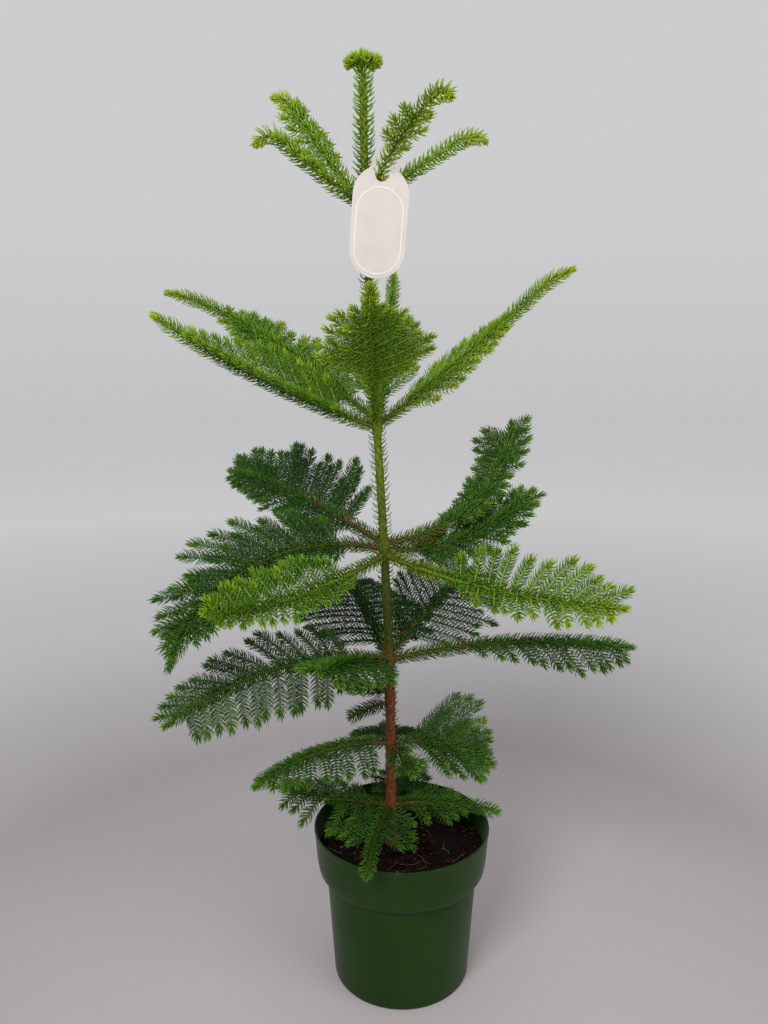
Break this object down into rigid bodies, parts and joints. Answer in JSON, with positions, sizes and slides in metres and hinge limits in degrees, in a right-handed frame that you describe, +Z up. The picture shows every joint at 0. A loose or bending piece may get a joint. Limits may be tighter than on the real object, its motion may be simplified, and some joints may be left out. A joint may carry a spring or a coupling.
{
  "type": "potted norfolk island pine",
  "caption": "Young potted conifer: a slim leaning trunk with whorls of flat needled boughs, in a round green plastic pot with a deep collar, and a card tag hung near the top.",
  "frame": {"origin": "centre of the pot's flat underside, on the surface that the pot stands on", "axes": "+Z up along the pot's axis, +X to the right and -Y towards the viewer when the plant is seen from its front, the side that the tag faces"},
  "size_m": [0.5494, 0.4453, 1.041],
  "materials": {
    "bark": "matte",
    "limb_bark": "matte",
    "needles": "satin",
    "pot_plastic": "satin",
    "potting_soil": "matte",
    "card": "matte"
  },
  "bodies": {
    "root": {"bough_a1": "limb_bark", "bough_a2": "limb_bark", "bough_a3": "limb_bark", "bough_a4": "limb_bark", "bough_b1": "limb_bark", "bough_b2": "limb_bark", "bough_b3": "limb_bark", "bough_b4": "limb_bark", "bough_b5": "limb_bark", "bough_c1": "limb_bark", "bough_c2": "limb_bark", "bough_c3": "limb_bark", "bough_c4": "limb_bark", "bough_c5": "limb_bark", "bough_c6": "limb_bark", "bough_d1": "limb_bark", "bough_d2": "limb_bark", "bough_d3": "limb_bark", "bough_d4": "limb_bark", "bough_d5": "limb_bark", "foliage_a1": "needles", "foliage_a2": "needles", "foliage_a3": "needles", "foliage_a4": "needles", "foliage_b1": "needles", "foliage_b2": "needles", "foliage_b3": "needles", "foliage_b4": "needles", "foliage_b5": "needles", "foliage_c1": "needles", "foliage_c2": "needles", "foliage_c3": "needles", "foliage_c4": "needles", "foliage_c5": "needles", "foliage_c6": "needles", "foliage_d1": "needles", "foliage_d2": "needles", "foliage_d3": "needles", "foliage_d4": "needles", "foliage_d5": "needles", "foliage_d6": "needles", "foliage_d7": "needles", "foliage_e1": "needles", "foliage_e2": "needles", "foliage_e3": "needles", "foliage_e4": "needles", "foliage_f1": "needles", "foliage_f2": "needles", "foliage_f3": "needles", "foliage_f4": "needles", "foliage_leader": "needles", "hang_tag": "card", "pot": "pot_plastic", "soil": "potting_soil", "trunk": "bark"}
  },
  "joints": []
}
